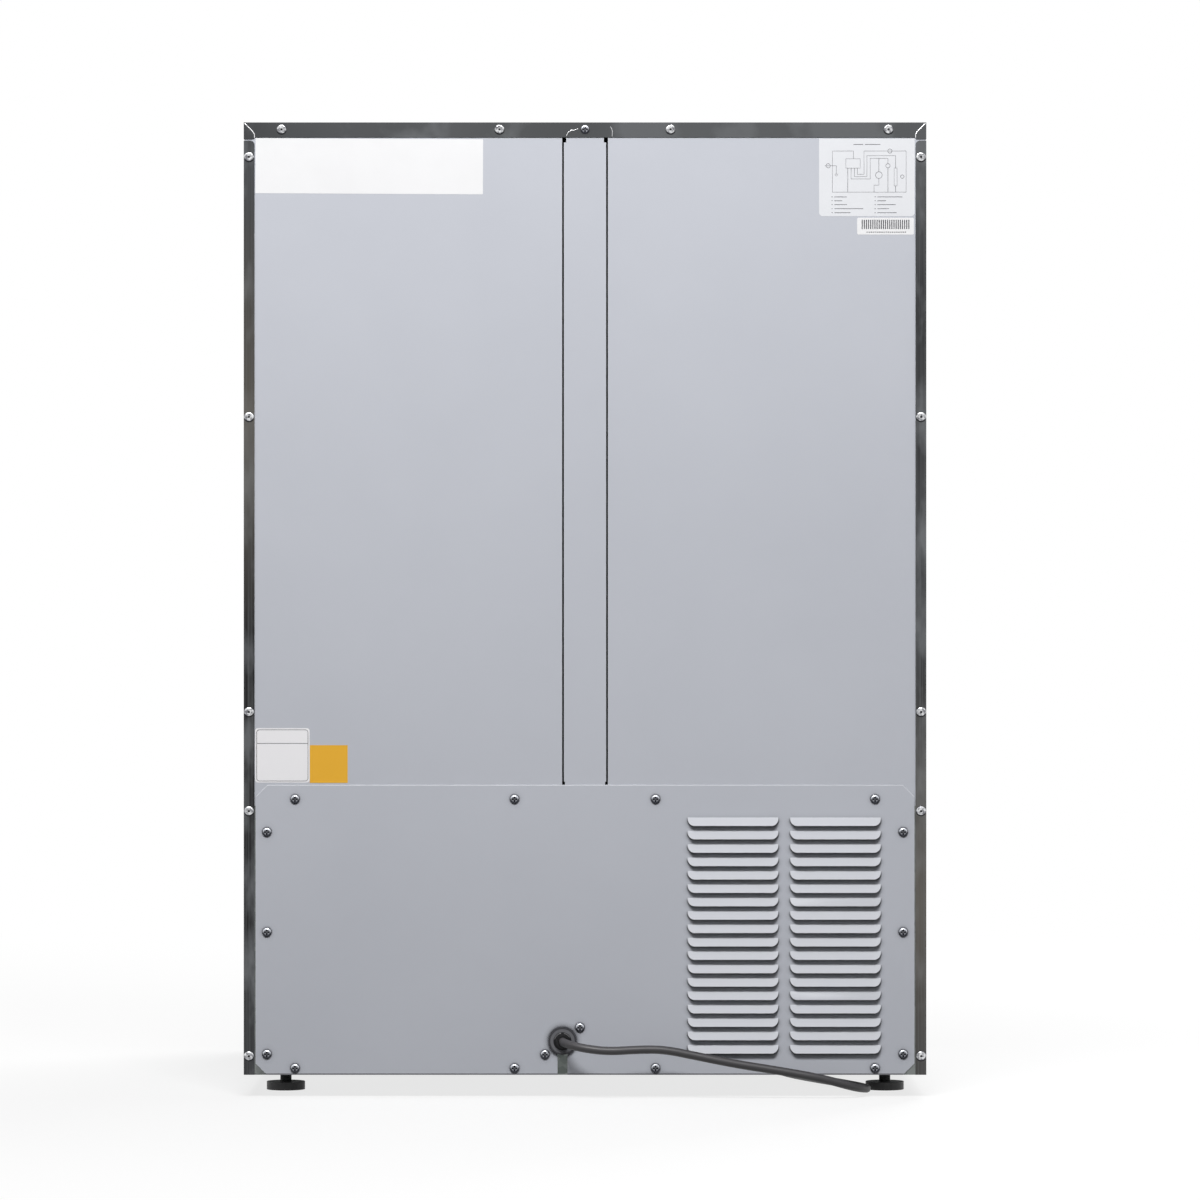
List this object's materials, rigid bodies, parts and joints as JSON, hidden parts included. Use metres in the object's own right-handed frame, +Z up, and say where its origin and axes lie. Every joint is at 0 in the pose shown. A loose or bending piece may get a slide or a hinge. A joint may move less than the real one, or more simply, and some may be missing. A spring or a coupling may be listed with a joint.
{
  "type": "outdoor refrigerator",
  "caption": "Undercounter outdoor refrigerator with an insulated hinged door, wire shelves, a louvred rear compressor cover, levelling feet and a power cord",
  "frame": {"origin": "middle of the ground under the cabinet and its door", "axes": "+X to the right seen from the front, +Y to the back, +Z up; the door faces -Y"},
  "size_m": [0.597, 0.6785, 0.853],
  "materials": {
    "stainless_steel": "brushed stainless sheet",
    "pale_painted_sheet": "pale grey sheet, satin",
    "galvanised_sheet": "galvanised sheet",
    "fasteners": "plated steel",
    "black_sheet": "black, satin",
    "shelf_wire": "plated wire",
    "coil_metal": "mill finish fins",
    "copper_tube": "drawn tube",
    "foam": "rigid foam",
    "white_plastic": "smooth moulded sheet",
    "grey_plastic": "fine texture",
    "black_plastic": "fine texture",
    "foot_plastic": "moulded",
    "display_window": "gloss window",
    "light_cover": "opal cover",
    "gasket_rubber": "matt",
    "grommet_plastic": "moulded",
    "cord_rubber": "satin jacket"
  },
  "bodies": {
    "cabinet": {"top_panel": "stainless_steel", "side_panel_left": "stainless_steel", "side_panel_right": "stainless_steel", "front_frame": "stainless_steel", "rear_panel_left": "pale_painted_sheet", "rear_panel_right": "pale_painted_sheet", "rear_centre_strip": "pale_painted_sheet", "rear_cover": "pale_painted_sheet", "base_pan": "galvanised_sheet", "compartment_deck": "galvanised_sheet", "cord_clamp": "galvanised_sheet", "condenser_shroud": "galvanised_sheet", "sheet_screws": "fasteners", "flange_rivets": "fasteners", "hinge_brackets": "fasteners", "hinge_pins": "fasteners", "kick_grille": "black_sheet", "compressor": "black_sheet", "shelf_upper": "shelf_wire", "shelf_lower": "shelf_wire", "evaporator": "coil_metal", "condenser": "coil_metal", "discharge_line": "copper_tube", "suction_line": "copper_tube", "filter_drier": "copper_tube", "foam_insulation": "foam", "inner_liner": "white_plastic", "evaporator_cover": "white_plastic", "control_housing": "grey_plastic", "temperature_sensor": "grey_plastic", "led_driver": "grey_plastic", "drain_tube": "grey_plastic", "drip_tray": "grey_plastic", "compressor_starter": "black_plastic", "condenser_fan_motor": "black_plastic", "evaporator_fan_motor": "black_plastic", "control_display": "display_window", "led_light": "light_cover", "compressor_mounts": "gasket_rubber", "cord_grommet": "grommet_plastic", "power_cord": "cord_rubber", "power_cord_coil": "cord_rubber", "cord_tie": "cord_rubber", "power_plug": "cord_rubber"},
    "door": {"door_skin": "stainless_steel", "door_foam": "foam", "door_liner": "white_plastic", "door_gasket": "gasket_rubber", "handle_bar": "stainless_steel", "handle_posts": "stainless_steel", "door_bushes": "grey_plastic"},
    "evaporator_rotor": {"evaporator_fan": "black_plastic"},
    "condenser_rotor": {"condenser_fan": "black_plastic"},
    "power_button": {"button_power": "grey_plastic"},
    "warmer_button": {"button_warmer": "grey_plastic"},
    "cooler_button": {"button_cooler": "grey_plastic"},
    "foot_front_right": {"levelling_foot_front_right": "foot_plastic"},
    "foot_front_left": {"levelling_foot_front_left": "foot_plastic"},
    "foot_rear_right": {"levelling_foot_rear_right": "foot_plastic"},
    "foot_rear_left": {"levelling_foot_rear_left": "foot_plastic"}
  },
  "joints": [
    {"name": "door_hinge", "type": "hinge", "parent": "cabinet", "child": "door", "pos_m": [0.285, -0.2575, 0.4805], "axis": [0, 0, 1], "range_deg": [0, 110]},
    {"name": "evaporator_fan_spin", "type": "hinge", "parent": "cabinet", "child": "evaporator_rotor", "pos_m": [0, 0.2369, 0.7007], "axis": [0, 1, 0], "continuous": true},
    {"name": "condenser_fan_spin", "type": "hinge", "parent": "cabinet", "child": "condenser_rotor", "pos_m": [-0.17, 0.2427, 0.132], "axis": [0, 1, 0], "continuous": true},
    {"name": "power_press", "type": "slide", "parent": "cabinet", "child": "power_button", "axis": [0, 1, 0], "range_m": [0, 0.0012], "stiffness_N_per_m": 400},
    {"name": "warmer_press", "type": "slide", "parent": "cabinet", "child": "warmer_button", "axis": [0, 1, 0], "range_m": [0, 0.0012], "stiffness_N_per_m": 400},
    {"name": "cooler_press", "type": "slide", "parent": "cabinet", "child": "cooler_button", "axis": [0, 1, 0], "range_m": [0, 0.0012], "stiffness_N_per_m": 400},
    {"name": "foot_front_right_level", "type": "slide", "parent": "cabinet", "child": "foot_front_right", "axis": [0, 0, -1], "range_m": [0, 0.01]},
    {"name": "foot_front_left_level", "type": "slide", "parent": "cabinet", "child": "foot_front_left", "axis": [0, 0, -1], "range_m": [0, 0.01]},
    {"name": "foot_rear_right_level", "type": "slide", "parent": "cabinet", "child": "foot_rear_right", "axis": [0, 0, -1], "range_m": [0, 0.01]},
    {"name": "foot_rear_left_level", "type": "slide", "parent": "cabinet", "child": "foot_rear_left", "axis": [0, 0, -1], "range_m": [0, 0.01]}
  ]
}
